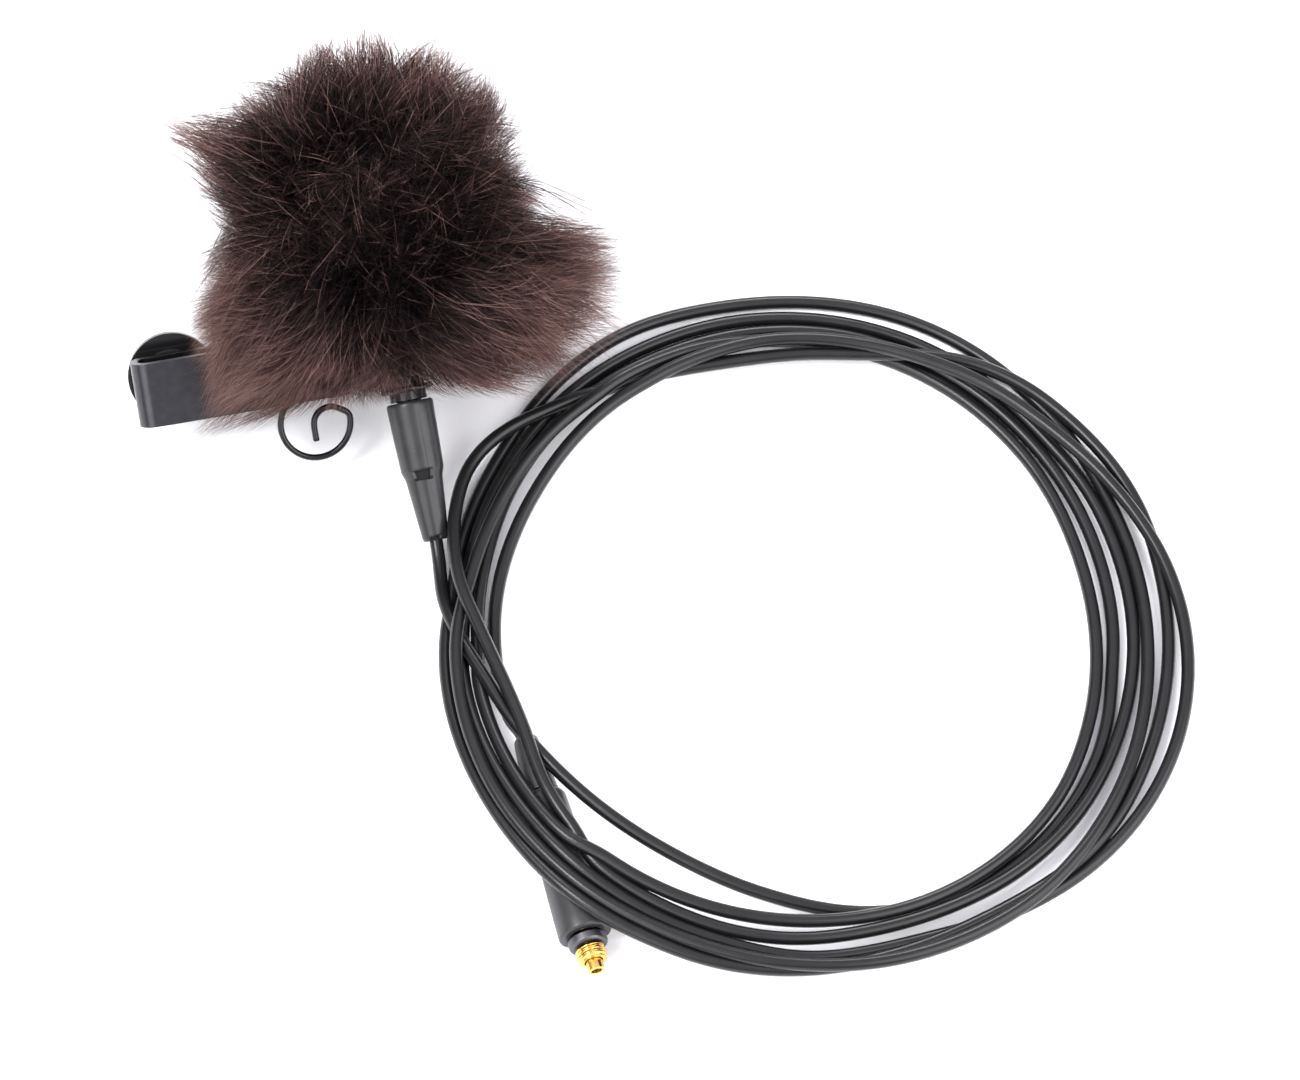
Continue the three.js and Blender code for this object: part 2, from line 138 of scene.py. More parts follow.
def vary_colour(material, dark, light, scale, low=0.35, high=0.65):
    """Mottles the base colour between two tones."""
    ramp = add_node(material, "ShaderNodeValToRGB")
    for stop, place, colour in zip(ramp.color_ramp.elements, (low, high), (dark, light)):
        stop.position = place
        stop.color = (*colour, 1)
    link(material, noise(material, scale), ramp.inputs["Fac"])
    link(material, ramp.outputs["Color"], shader_of(material).inputs["Base Color"])


def vary_roughness(material, low, high, scale):
    """Wear and handling: the gloss drifts between two values."""
    spread = add_node(material, "ShaderNodeMapRange", To_Min=low, To_Max=high)
    link(material, noise(material, scale, detail=3.0), spread.inputs["Value"])
    link(material, spread.outputs["Result"], shader_of(material).inputs["Roughness"])


def add_grain(material, scale, depth, strength=0.4, stretch=(1, 1, 1)):
    """Fine surface grain, its depth in mm."""
    bump = add_node(material, "ShaderNodeBump", Strength=strength, Distance=depth * MM)
    link(material, noise(material, scale, 2.0, stretch), bump.inputs["Height"])
    link(material, bump.outputs["Normal"], shader_of(material).inputs["Normal"])


def make_rubber(name, tone, low, high):
    """Black or grey rubber, slightly blue; its roughness drifts between low and high."""
    material = new_material(name, (tone, tone, tone * 1.1), 0.5)
    vary_colour(material, (tone * 0.85,) * 3, (tone * 1.12, tone * 1.14, tone * 1.25), 0.5)
    vary_roughness(material, low, high, 0.9)
    add_grain(material, 9.0, 0.012, 0.35)
    shader_of(material).inputs["Specular IOR Level"].default_value = RUBBER_SPECULAR
    return material


def make_metal(name, colour, low, high):
    """Brushed metal; its roughness drifts between low and high."""
    material = new_material(name, colour, 0.3, 1.0)
    vary_colour(material, [c * 0.86 for c in colour], colour, 1.2)
    vary_roughness(material, low, high, 2.0)
    add_grain(material, 14.0, 0.004, 0.3, (1, 1, 6))
    return material


def make_plastic(name, colour, low, high):
    material = new_material(name, colour, 0.4)
    vary_colour(material, [c * 0.8 for c in colour], colour, 1.5)
    vary_roughness(material, low, high, 1.2)
    add_grain(material, 8.0, 0.01, 0.3)
    return material


def make_foam():
    """Open-celled foam: dark cells between slightly paler walls."""
    material = new_material("foam_black", (0.012, 0.012, 0.013), 0.95)
    vary_colour(material, (0.004, 0.004, 0.004), (0.02, 0.02, 0.022), 3.5)
    add_grain(material, 4.0, 0.12, 0.9)
    return material


def make_woven_mesh():
    """Fine metal gauze, its wires across and along."""
    material = new_material("woven_mesh", (0.3, 0.3, 0.31), 0.4, 1.0)
    vary_roughness(material, 0.3, 0.5, 4.0)
    place = add_node(material, "ShaderNodeTexCoord")
    checks = add_node(material, "ShaderNodeTexChecker", Scale=12 / MM)
    checks.inputs["Color1"].default_value = (0.35, 0.35, 0.36, 1)
    checks.inputs["Color2"].default_value = (0.03, 0.03, 0.03, 1)
    link(material, place.outputs["Object"], checks.inputs["Vector"])
    link(material, checks.outputs["Color"], shader_of(material).inputs["Base Color"])
    return material


boot_rubber = make_rubber("boot_rubber", 0.018, 0.24, 0.36)
# painted shade for the notch floors: far darker than the boot's own rubber
recess_painted_shade = make_rubber("recess_painted_shade", 0.004, 0.7, 0.9)
plug_rubber = make_rubber("plug_rubber", 0.026, 0.3, 0.42)
cable_jacket = make_rubber("cable_jacket", 0.0055, 0.25, 0.35)
gloss_black = make_rubber("gloss_black", 0.008, 0.06, 0.14)
wire_black = make_rubber("wire_black", 0.004, 0.1, 0.2)
elastic = make_rubber("elastic_knit", 0.012, 0.7, 0.9)
clip_metal = make_metal("clip_metal", (0.054, 0.0545, 0.059), 0.26, 0.36)
collar_metal = make_metal("collar_metal", (0.1, 0.1, 0.11), 0.36, 0.48)
gilt = make_metal("gilt", (0.72, 0.45, 0.13), 0.13, 0.24)
steel = make_metal("steel", (0.6, 0.61, 0.63), 0.22, 0.36)
insulator = make_rubber("insulator", 0.7, 0.4, 0.55)
lead_red = make_plastic("lead_red", (0.36, 0.02, 0.025), 0.35, 0.5)
circuit_board = make_plastic("circuit_board", (0.015, 0.12, 0.05), 0.3, 0.5)
foam_black = make_foam()
woven_mesh = make_woven_mesh()


# ---------------------------------------------------------------- mesh helpers


def unit(vectors):
    return vectors / np.linalg.norm(vectors, axis=-1, keepdims=True)


def mesh_object(name, corners, faces, materials, slots=None):
    """A smooth shaded mesh of triangles or quads, from places in mm."""
    data = bpy.data.meshes.new(name)
    sides = faces.shape[1]
    data.vertices.add(len(corners))
    data.vertices.foreach_set("co", (corners * MM).astype(np.float32).ravel())
    data.loops.add(faces.size)
    data.loops.foreach_set("vertex_index", faces.astype(np.int32).ravel())
    data.polygons.add(len(faces))
    data.polygons.foreach_set("loop_start", np.arange(0, faces.size, sides, dtype=np.int32))
    for material in materials:
        data.materials.append(material)
    if slots is not None:
        data.polygons.foreach_set("material_index", slots.astype(np.int32))
    data.update(calc_edges=True)
    data.shade_smooth()
    piece = bpy.data.objects.new(name, data)
    bpy.context.scene.collection.objects.link(piece)
    return piece


SMALLEST_RADIUS = 0.002  # a turned piece's outline never quite reaches its axis


def ball_profile(radius, centre, start, stop, count):
    """(radius, height) points of a ball's outline between two latitudes."""
    angle = np.radians(np.linspace(start, stop, count + 1))
    across = np.maximum(radius * np.cos(angle), SMALLEST_RADIUS)
    return list(zip(across, centre + radius * np.sin(angle)))


def rounded(outline, radius=0.08):
    """A closed outline whose corners are turned into small curves."""
    points = np.array(outline, float)
    curved = []
    for n, corner in enumerate(points):
        before, after = points[n - 1] - corner, points[(n + 1) % len(points)] - corner
        cut = min(radius, 0.4 * np.linalg.norm(before), 0.4 * np.linalg.norm(after))
        enter, leave = corner + unit(before) * cut, corner + unit(after) * cut
        for t in (0, 0.25, 0.5, 0.75, 1):
            curved.append((1 - t) ** 2 * enter + 2 * t * (1 - t) * corner + t * t * leave)
    return np.array(curved)


def divided(outline, step):
    """The closed outline with no stretch longer than step."""
    places = []
    outline = np.array(outline, float)
    for start, end in zip(outline, np.roll(outline, -1, axis=0)):
        count = max(1, math.ceil(np.linalg.norm(end - start) / step))
        places += [start + (end - start) * n / count for n in range(count)]
    return np.array(places)


def turned_piece(name, outline, origin, axis, material, segments=96, shape=None):
    """A closed (radius, height) outline turned about the axis.

    The outline rises on its outside. shape(radius, height, angle) gives the final radius.
    """
    profile = np.array(outline, float)
    angle = np.arange(segments) * 2 * math.pi / segments
    radius = np.repeat(profile[:, :1], segments, axis=1)
    height = np.repeat(profile[:, 1:], segments, axis=1)
    if shape:
        radius = shape(radius, height, angle[None])
    level = unit(np.cross(axis, [0.0, 0.0, 1.0]))
    corners = origin + height[..., None] * axis
    corners = corners + (radius * np.cos(angle))[..., None] * level
    corners = corners + (radius * np.sin(angle))[..., None] * np.cross(axis, level)
    ring, turn = np.meshgrid(np.arange(len(profile)), np.arange(segments), indexing="ij")
    next_ring, next_turn = (ring + 1) % len(profile), (turn + 1) % segments
    quads = np.stack([ring * segments + turn, ring * segments + next_turn,
                      next_ring * segments + next_turn, next_ring * segments + turn], -1)
    return mesh_object(name, corners.reshape(-1, 3), quads.reshape(-1, 4), [material])


def stand_for(piece, body, slot, *replaced):
    """The piece moves with the body and stands for these CAD nodes."""
    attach(piece, body)
    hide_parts(*replaced)
    return piece


WELD_GAP = 0.002
SHARP_EDGE = math.radians(32)


def finish_node(name, material, bevel=0.0, segments=3):
    """A carried-over CAD node: its finish, and its sharp edges rounded by a bevel in mm."""
    node = nodes[name]
    node.data.materials.clear()
    node.data.materials.append(material)
    if "custom_normal" in node.data.attributes:
        node.data.attributes.remove(node.data.attributes["custom_normal"])
    node.data.shade_smooth()
    weld = node.modifiers.new("weld", "WELD")
    weld.merge_threshold = WELD_GAP * MM
    if bevel:
        edges = node.modifiers.new("rounded_edges", "BEVEL")
        edges.width = bevel * MM
        edges.segments = segments
        edges.limit_method = "ANGLE"
        edges.angle_limit = SHARP_EDGE
        edges.harden_normals = True
    return node


def round_wire(name, material):
    """A CAD wire with a fully round section."""
    node = finish_node(name, material)
    smooth = node.modifiers.new("round", "SUBSURF")
    smooth.levels = smooth.render_levels = 2


# ---------------------------------------------------------------- cable

CABLE_DIAMETER = 1.28
COIL_CENTRE = (41.3, -35.5)
LIFT_LEAN = 0.52  # a lifted stretch also lies this much nearer the front, per mm of height
CABLE_STEP = 1.0  # degrees round the coil between two points of the cable
PER_TURN = round(360 / CABLE_STEP)
WAY_IN = 20  # degrees of the cable's own way up into the plug
WAY_OUT = 8  # degrees in which the cable comes down from the boot
FLOOR_REST = CABLE_DIAMETER / 2 + 0.01  # height of the cable's centre on the floor
PLUG_GAP = 0.15
NEST = 0.7  # how much of a diameter a crossing turn is first lifted by, and within which it crosses
SWEEPS = 600
SINKING = 0.9  # part of the sweeps in which the turns still sink
SINK = 0.015
PUSH = 0.45

# Each turn's distance from the coil's centre at chosen angles, counter-clockwise from the right.
TURN_RADII = (
    ((165.5, 36.2), (180, 32.8), (195, 30.0), (210, 28.0), (225, 26.9), (240, 26.6), (260, 27.6),
     (280, 29.6), (300, 30.7), (320, 30.4), (340, 29.1), (350, 28.3)),
    ((0, 28.1), (15, 28.0), (30, 28.3), (60, 29.9), (90, 31.8), (120, 32.5), (150, 32.2),
     (165, 31.7), (195, 31.6), (210, 31.4), (240, 30.3), (270, 29.9), (290, 29.7), (320, 28.6),
     (340, 27.3)),
    ((0, 26.4), (15, 26.2), (45, 27.5), (75, 29.8), (105, 31.6), (135, 32.5), (165, 32.5),
     (195, 33.6), (225, 33.8), (255, 34.0), (265, 34.3), (280, 34.4), (310, 33.9), (330, 32.7)),
    ((0, 31.2), (25, 31.1), (50, 32.7), (75, 34.5), (105, 35.7), (120, 36.4), (130, 36.0),
     (150, 34.6), (160, 34.3), (195, 34.8), (240, 34.9), (255, 35.1), (280, 34.0), (290, 33.7),
     (320, 34.3), (340, 33.6)),
    ((0, 33.3), (30, 33.4), (45, 32.9), (60, 32.4), (75, 30.6), (90, 29.7), (105, 29.7),
     (120, 31.2), (135, 33.8), (145, 36.2), (150, 36.8), (160, 35.8), (170, 33.7), (180, 31.1),
     (190, 29.4), (200, 28.9), (215, 30.0), (230, 31.3), (245, 31.8), (265, 31.8), (280, 31.2),
     (310, 30.8)),
    ((0, 30.0), (15, 29.9), (30, 30.0), (45, 30.1), (60, 31.3), (75, 32.4), (105, 33.9),
     (120, 34.1), (150, 33.7), (180, 33.3), (225, 32.9), (255, 33.1), (268, 33.7), (290, 33.4),
     (306, 34.2), (325, 35.5), (335, 35.7)),
    ((0, 34.8), (15, 33.5), (30, 32.1), (45, 31.1), (60, 31.0), (75, 30.9), (105, 31.5),
     (120, 31.2), (150, 30.0), (180, 29.9), (203, 29.8)),
)
# How high each turn ranks where two cross, in the same way: the higher rank lies on top.
TURN_RANKS = (
    ((165.5, 9), (205, 9), (250, 3)),
    ((0, 3.2), (60, 5)),
    ((0, 5.1), (90, 5.5)),
    ((0, 5.5), (30, 3.3), (200, 3.1)),
    ((0, 4), (45, 8), (88, 8), (110, 1), (142, 1), (160, 8), (200, 8), (222, 4)),
    ((0, 4.2), (290, 3), (306, 2), (345, 5)),
    ((0, 6), (15, 7), (130, 7), (160, 0.5), (203, 0)),
)


def along_turns(turns):
    """The (angle, value) pairs of all turns as two arrays, the angle counted on from turn to turn."""
    pairs = [(angle + 360 * turn, value) for turn, row in enumerate(turns) for angle, value in row]
    return np.array(pairs, float).T


def eased(knots, values, at):
    """A smooth line through the knots: a cubic Hermite curve with mean slopes."""
    span = np.diff(knots)
    slope = np.diff(values) / span
    tangent = np.empty(len(knots))
    tangent[0], tangent[-1] = slope[0], slope[-1]
    tangent[1:-1] = (slope[:-1] * span[1:] + slope[1:] * span[:-1]) / (span[1:] + span[:-1])
    n = np.clip(np.searchsorted(knots, at, side="right") - 1, 0, len(knots) - 2)
    t = (at - knots[n]) / span[n]
    start = values[n] * (2 * t**3 - 3 * t**2 + 1) + tangent[n] * span[n] * (t**3 - 2 * t**2 + t)
    return start + values[n + 1] * (3 * t**2 - 2 * t**3) + tangent[n + 1] * span[n] * (t**3 - t**2)


def smoothed(values, times):
    for _ in range(times):
        values = values + 0.25 * np.pad(np.diff(values, 2), 1)
    return values


def coil_place(angle, radius, height):
    x = COIL_CENTRE[0] + radius * np.cos(np.radians(angle))
    y = COIL_CENTRE[1] + radius * np.sin(np.radians(angle)) - LIFT_LEAN * height
    return x, y


def support(angle, radius, height):
    """Height of the cable's centre where it rests on the floor or on the plug and its boot."""
    x, y = coil_place(angle, radius, height)
    along = (x - PLUG_REAR[0]) * PLUG_AXIS[0] + (y - PLUG_REAR[1]) * PLUG_AXIS[1]
    across = (x - PLUG_REAR[0]) * PLUG_AXIS[1] - (y - PLUG_REAR[1]) * PLUG_AXIS[0]
    reach = np.interp(along, *zip(*PLUG_OUTLINE), left=0, right=0) + CABLE_DIAMETER / 2 + PLUG_GAP
    first, second, last = PLUG_OUTLINE[0][0], PLUG_OUTLINE[1][0], PLUG_OUTLINE[-1][0]
    middle = np.interp(along, (first, second), (FLOOR_REST, PLUG_REAR[2]))
    crown = middle + np.sqrt(np.maximum(reach**2 - across**2, 0))
    on_plug = (np.abs(across) < reach) & (along > first) & (along < last)
    on_plug &= angle < angle[-1] - WAY_IN
    return np.where(on_plug, crown, FLOOR_REST)


def turn_pairs():
    """Slices that pair each point with the points at the same angle in the later turns."""
    for turns in range(1, len(TURN_RADII)):
        yield slice(0, -turns * PER_TURN), slice(turns * PER_TURN, None)


def stacked(angle, radius, rank):
    """First heights: each stretch lies on the support and on the lower ranked stretches it crosses."""
    height = support(angle, radius, np.zeros(len(angle)))
    for _ in range(6):
        rise = support(angle, radius, height) * 0.9
        for early, late in turn_pairs():
            for upper, lower in ((early, late), (late, early)):
                apart = np.abs(radius[upper] - radius[lower])
                over = (rank[upper] > rank[lower]) & (apart < NEST * CABLE_DIAMETER)
                lift = height[lower] + NEST * np.sqrt(np.maximum(CABLE_DIAMETER**2 - apart**2, 0))
                rise[upper] = np.where(over, np.maximum(rise[upper], lift), rise[upper])
        height = rise
    return height


def settled(angle, target, rank):
    """Radius and height once the turns have sunk and pushed each other one diameter apart."""
    height = stacked(angle, target, rank)
    radius = target.copy()
    for sweep in range(SWEEPS):
        sink = SINK if sweep < SINKING * SWEEPS else 0
        height = smoothed(height - sink, 80)
        radius = target + smoothed((radius - target) * 0.97, 8)
        for early, late in [*turn_pairs()] * 2:
            across = radius[late] - radius[early]
            up = height[late] - height[early]
            apart = np.hypot(across, up) + 1e-9
            push = np.maximum(CABLE_DIAMETER - apart, 0) * PUSH / apart
            for part, sign in ((late, 1), (early, -1)):
                radius[part] += sign * push * across
                height[part] += sign * push * up
        height = np.maximum(height, support(angle, radius, height))
    return smoothed(radius, 12), smoothed(height, 30)


def cable_line():
    """The cable's centreline in mm: from inside the boot, round the coil, into the plug's boot."""
    knots, radii = along_turns(TURN_RADII)
    angle = np.arange(knots[0], knots[-1], CABLE_STEP)
    rank = np.interp(angle, *along_turns(TURN_RANKS))
    radius, height = settled(angle, eased(knots, radii, angle), rank)
    near_boot = np.clip(1 - (angle - angle[0]) / WAY_OUT, 0, 1) ** 1.5
    near_plug = np.clip(1 - (angle[-1] - angle) / WAY_IN, 0, 1)
    near_plug = near_plug**2 * (3 - 2 * near_plug)
    height = height + (BOOT_TIP[2] - height) * near_boot
    height = height + (PLUG_REAR[2] - height) * near_plug
    coil = np.column_stack([*coil_place(angle, radius, height), height])
    in_boot = [BOOT_TIP + MIC_AXIS * out for out in (5, 4, 3, 2, 1, 0, -1)]
    in_plug = [PLUG_REAR + PLUG_AXIS * out for out in (-7.2, -6.2, -5, -4, -3, -2)]
    line = np.vstack([in_boot, coil[4:-3], in_plug])
    for _ in range(3):
        line[1:-1] += 0.25 * np.diff(line, 2, axis=0)
    return line


def make_cable():
    line = cable_line()
    data = bpy.data.curves.new("cable", "CURVE")
    data.dimensions = "3D"
    data.bevel_depth = CABLE_DIAMETER / 2 * MM
    data.bevel_resolution = 5
    data.use_fill_caps = True
    spline = data.splines.new("POLY")
    spline.points.add(len(line) - 1)
    for point, place in zip(spline.points, line * MM):
        point.co = (*place, 1)
    spline.use_smooth = True
    cable = bpy.data.objects.new("cable", data)
    bpy.context.scene.collection.objects.link(cable)
    data.materials.append(cable_jacket)
    return cable


# ---------------------------------------------------------------- strain relief boot

BOOT_OUTLINE = [
    (1.06, -13.26), (1.12, -13.25), (1.22, -13.08), (1.262, -12.88), (1.266, -12.84), (1.28, -12.7),
    (1.735, -7.56), (1.745, -7.51), (1.75, -7.47), (1.765, -7.35), (1.80, -7.22), (1.99, -6.66),
    (2.022, -6.53), (2.034, -6.48), (2.045, -6.3), (2.1, -4.6), (2.15, -3.0), (2.2, -1.2),
    (2.222, -0.5), (2.218, -0.3), (2.19, -0.14), (2.13, -0.04), (2.05, 0), (1.9, 0.01), (1.42, 0),
    (1.33, -0.04), (1.3, -0.15), (1.3, -5.6), (0.74, -6.2), (0.74, -13.15), (0.8, -13.24)]
BOOT_FRONT = math.radians(-95.7)  # the notched side, which faces the eye
MOULD_SEAM = math.radians(-75.7)
BOOT_MEAN_RADIUS = 2.0
# Each notch: half its width, its depth, and where it starts and ends up the boot.
SHOULDER_NOTCH = (1.05, 0.5, -7.5, -6.5)
TIP_NOTCH = (0.9, 0.35, -14.0, -12.86)
# Each notch's floor, which gets painted shade: its least and greatest radius, and where it starts and
# ends up the boot.
SHADED_NOTCH_FLOORS = ((0.8, 1.6, -7.52, -6.47), (0.78, 1.02, -14.0, -12.84))
SEAM_HEIGHT, SEAM_WIDTH = 0.025, 0.05
SEAM_START, SEAM_END = -12.7, -0.6


def wrapped(angle):
    """The same angle, between minus and plus half a turn."""
    return (angle + math.pi) % (2 * math.pi) - math.pi


def boot_notches(radius, height, angle):
    """Cuts the shoulder's and the tip's notch, and raises the fine mould line."""
    outside = radius > 1.0
    across = np.abs(wrapped(angle - BOOT_FRONT)) * BOOT_MEAN_RADIUS
    from_seam = wrapped(angle - MOULD_SEAM) * BOOT_MEAN_RADIUS
    seam = outside & (height < SEAM_END) & (height > SEAM_START)
    ridge = SEAM_HEIGHT * np.exp(-((from_seam / SEAM_WIDTH) ** 2)) * seam
    for half_width, depth, start, end in (SHOULDER_NOTCH, TIP_NOTCH):
        cut = outside & (across < half_width) & (height > start) & (height < end)
        radius = radius - depth * cut
    return radius + ridge


def paint_notch_shade(boot):
    """The floor of both notches gets painted shade: a far darker, rougher rubber."""
    boot.data.materials.append(recess_painted_shade)
    for face in boot.data.polygons:
        place = np.array(face.center) / MM - MIC_RIM
        height = place @ MIC_AXIS
        radius = np.linalg.norm(place - height * MIC_AXIS)
        for least, greatest, start, end in SHADED_NOTCH_FLOORS:
            if least < radius < greatest and start < height < end:
                face.material_index = 1


def make_boot():
    boot = turned_piece("boot_moulded", BOOT_OUTLINE, MIC_RIM, MIC_AXIS, boot_rubber, 288, boot_notches)
    paint_notch_shade(boot)
    stand_for(boot, "microphone", "boot_rubber", "strain_relief_boot")


# ---------------------------------------------------------------- plug

PLUG_BODY = [(1.7, 0), (2.08, 0.5), (2.2, 4), (2.32, 8), (2.42, 11), (2.5, 13.6), (2.5, 15),
             (1.5, 15), (1.5, 1.8), (0.78, 1.2), (0.78, 0)]
PLUG_BOOT = [(0.95, -6), (1.15, -5.7), (1.4, -3), (1.62, -0.1), (0.78, -0.1), (0.78, -6)]
THREAD_START, THREAD_END, THREAD_PITCH = 16.35, 17.7, 0.45
THREAD_ROOT, THREAD_CREST, THREAD_BORE = 1.2, 1.42, 0.9
THREAD_RUN_OUT = 0.12


def thread_shape(radius, height, angle):
    """One ridge that winds up the sleeve and runs out at both ends."""
    phase = ((height - THREAD_START) / THREAD_PITCH - angle / (2 * math.pi)) % 1
    ridge = np.clip(1.6 - 4.2 * np.abs(phase - 0.5), 0, 1)
    ends = np.clip(np.minimum(height - THREAD_START, THREAD_END - height) / THREAD_RUN_OUT, 0, 1)
    outside = radius > (THREAD_ROOT + THREAD_BORE) / 2
    return radius + (THREAD_CREST - THREAD_ROOT) * ridge * ends * outside


def make_plug():
    body = turned_piece("plug_shell", rounded(PLUG_BODY, 0.3), PLUG_REAR, PLUG_AXIS, plug_rubber, 128)
    stand_for(body, "microphone", "boot_rubber", "plug_body")
    boot = turned_piece("plug_entry_boot", rounded(PLUG_BOOT, 0.12), PLUG_REAR, PLUG_AXIS,
                        plug_rubber, 96)
    stand_for(boot, "microphone", "boot_rubber", "plug_boot")
    wall = [(THREAD_ROOT, THREAD_START), (THREAD_ROOT, THREAD_END), (THREAD_BORE, THREAD_END),
            (THREAD_BORE, THREAD_START)]
    thread = turned_piece("plug_thread", divided(wall, 0.03), PLUG_REAR, PLUG_AXIS, gilt, 96,
                          thread_shape)
    stand_for(thread, "plug_coupling", "gilt", "threaded_sleeve")
    finish_node("plug_collar", collar_metal, 0.12)
    finish_node("crimp_sleeve", steel, 0.05)
    finish_node("tip_barrel", gilt, 0.06)
    finish_node("tip_insulator", insulator, 0.03)
    finish_node("centre_contact", gilt, 0.03)
    kept = ("crimp_sleeve", "plug_collar", "tip_barrel", "tip_insulator", "centre_contact")
    return [body, boot, thread, *[nodes[name] for name in kept]]


# ---------------------------------------------------------------- windshield

FUR_HEIGHT = 17.8  # the fur's centre, up the microphone's axis from the boot's rim
FUR_CENTRE = MIC_RIM + MIC_AXIS * FUR_HEIGHT
BACKING_RADIUS = 9.4
HAIR_COUNT = 36000
TUFT_COUNT = 900
HAIR_WIDTH = 0.068
HAIR_TAPER = 0.7
HAIR_RINGS = 4  # rings of three corners under each hair's pointed end
FUR_BATCHES = 7
VIEW_RIGHT = np.array([1.0, 0.0, 0.0])
VIEW_BACK = np.array([0.0, -math.cos(VIEW_ELEVATION), math.sin(VIEW_ELEVATION)])
VIEW_UP = np.cross(VIEW_BACK, VIEW_RIGHT)
# The backing's neck below its ball: places up the microphone's axis and the radius there.
NECK_HEIGHTS, NECK_RADII = (5.1, 7.0, 9.0, 10.3), (3.6, 3.9, 5.0, 5.64)
# How far the pile reaches from the fur's centre, by the angle round the line of sight.
PILE_REACH = ((-180, 15.0), (-174, 14.8), (-168, 17.6), (-160, 18.0), (-146, 20.8), (-136, 23.0),
              (-128, 26.8), (-124, 24.6), (-116, 21.4), (-106, 18.8), (-94, 17.6), (-80, 17.2),
              (-71, 17.4), (-58, 19.6), (-43, 24.0), (-34, 25.2), (-26, 25.6), (-13, 25.0),
              (-4, 23.8), (-2, 22.8), (0.5, 15.6), (12, 15.8), (26, 17.0), (45, 17.8), (60, 18.0),
              (68, 18.6), (79, 16.8), (94, 19.2), (105, 17.8), (113, 17.8), (122, 16.4), (132, 17.2),
              (143, 18.4), (150, 19.0), (155, 23.6), (159, 23.0), (162, 18.6), (172, 17.4),
              (180, 15.0))
NEAR_REACH = 15.0  # towards and away from the eye
LOCK_SAG, SAG_ANGLE, SAG_SPREAD = 2.4, -12, 12  # mm, and degrees round the line of sight
SIDEWAYS_COMB, NECK_COMB = 0.4, 0.5
# Tufts: least and greatest share of the reach, spread of lean, least and greatest hold, tone spread.
TUFT_SHORTEST, TUFT_LONGEST, TUFT_LEAN = 0.89, 1.06, 0.16
TUFT_LEAST_HOLD, TUFT_MOST_HOLD, TUFT_TONE = 0.05, 0.45, 0.9
STRAY_LEAN, FACING_LEAN = 0.1, 0.13  # of single hairs, and more towards and away from the eye
HAIR_SHORTENING = 0.3
BEND_SHAKE = 0.35
LONG_REACH, LONG_TIP_PALENESS_AND_RIM_LIGHT = 16, 0.15  # hairs that reach further than this get paler, per mm: partly their own paler tips, partly painted rim light
NECK_START = -0.8  # hairs that point further down than this grow from the neck
BARE_END = -0.98  # and further down than this there are none
# The clip's leaf, along its own axes: half its width, its ends, its back and its front.
LEAF_HALF_WIDTH, LEAF_START, LEAF_END, LEAF_BACK, LEAF_FRONT = 3.5, -3.2, 17.5, -3.2, 0.7
# Extra hairs for the long locks and the skirt: count, first and last angle, nearest and furthest side.
LOCKS = ((6000, -150, -98, -0.1, 0.5), (3500, -48, -2, -0.35, 0.4), (4500, -114, -62, 0.0, 0.6),
         (1500, -114, -62, -0.6, 0.0), (700, 152, 161, -0.2, 0.3))
# Dark patches of painted shade in the pile's hollows, and paler patches, placed as the eye sees the
# pile: right, up, spread in mm, tone.
PAINTED_SHADE_AND_PALE_PATCHES = ((-4, 8, 4.5, -1.3), (4, -2.5, 4.5, -1.2), (-8, -10, 4.5, -1.4), (11, -4, 4.0, -1.1),
                (3, -12.5, 5.0, -1.6), (12, -12, 4.5, -1.4), (-12, 6, 4.0, -1.5), (6, 8, 5.0, 0.9),
                (-2, 1, 3.5, 0.6), (17, -9, 4.5, 0.4), (-15, -14, 5.0, 0.2), (-1, 17, 4.0, 0.7),
                (7, 15, 4.0, 0.5))
TONE_SPREAD, TONE_START = 1.9, -1.5  # single hairs: many dark, few pale
PAINTED_RIM_LIGHT, PAINTED_DEPTH_SHADE = 1.1, 1.7  # painted rim light: paler towards the pile's rim as the eye sees it; painted shade: darker where hairs stand up from the pile, towards or away from the eye
ROOT_STEP, TIP_STEPS, TIP_CURVE = 0.2, 5.2, 1.6  # how the palette runs up a hair
ROOT_SHARE = 0.35  # how much of a hair's tone shows at its root
# Brown, from the darkest to the palest.
PALETTE = ((0.001, 0.0007, 0.0008), (0.0032, 0.0021, 0.0024), (0.0085, 0.0053, 0.0056),
           (0.017, 0.0098, 0.0096), (0.033, 0.0178, 0.0166), (0.059, 0.0305, 0.0275),
           (0.100, 0.053, 0.046), (0.175, 0.1, 0.085))


def spread_over_ball(count, rng):
    """Evenly spread directions, slightly shaken."""
    n = np.arange(count) + 0.5
    height = 1 - 2 * n / count
    turn = n * math.pi * (3 - math.sqrt(5))
    ring = np.sqrt(1 - height**2)
    points = np.column_stack([ring * np.cos(turn), ring * np.sin(turn), height])
    return unit(points + rng.normal(0, 0.6 / math.sqrt(count), points.shape))


def lock_directions(rng):
    """More directions where the pile has long locks."""
    for count, first, last, near, far in LOCKS:
        angle = np.radians(rng.uniform(first, last, count))[:, None]
        back = rng.uniform(near, far, count)[:, None]
        flat = np.cos(angle) * VIEW_RIGHT + np.sin(angle) * VIEW_UP
        yield flat * np.sqrt(1 - back**2) + back * VIEW_BACK


def eased_step(values, start, stop):
    t = np.clip((values - start) / (stop - start), 0, 1)
    return t * t * (3 - 2 * t)


